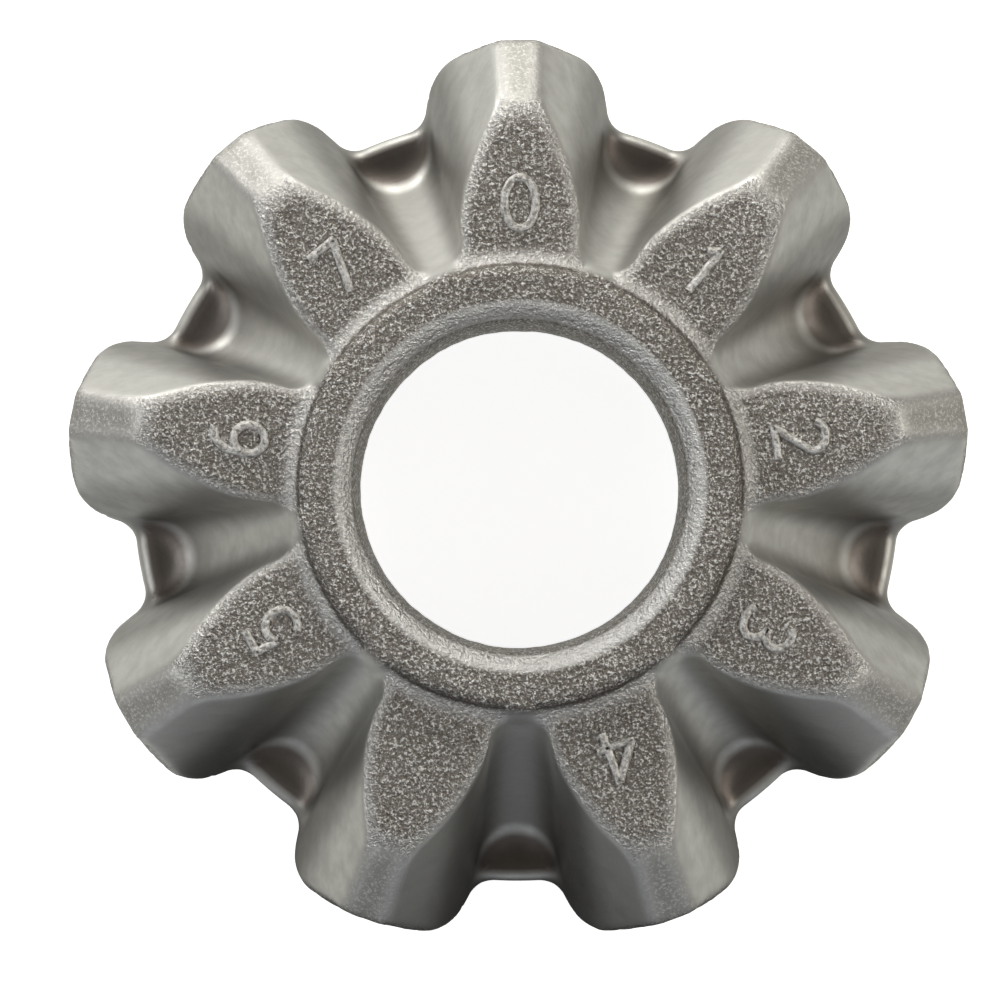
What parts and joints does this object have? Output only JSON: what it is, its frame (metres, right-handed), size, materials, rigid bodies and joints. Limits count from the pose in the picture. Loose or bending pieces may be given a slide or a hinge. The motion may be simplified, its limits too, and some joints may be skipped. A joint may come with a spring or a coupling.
{
  "type": "bevel pinion gear",
  "caption": "One-piece forged straight-tooth bevel pinion with a bore, a toe-end ring and a spherical back, for a bevel gear differential.",
  "frame": {"origin": "on the bore axis, in the plane of the flat back", "axes": "+Z along the bore axis from the back to the toe (small) end; +Y through the middle of one tooth"},
  "size_m": [0.0548, 0.0543, 0.0214],
  "materials": {
    "forged_steel": "net-shape forged and shot-blasted: grainy toe faces and ring, smooth coined tooth flanks"
  },
  "bodies": {
    "root": {"bevel_pinion": "forged_steel"}
  },
  "joints": []
}
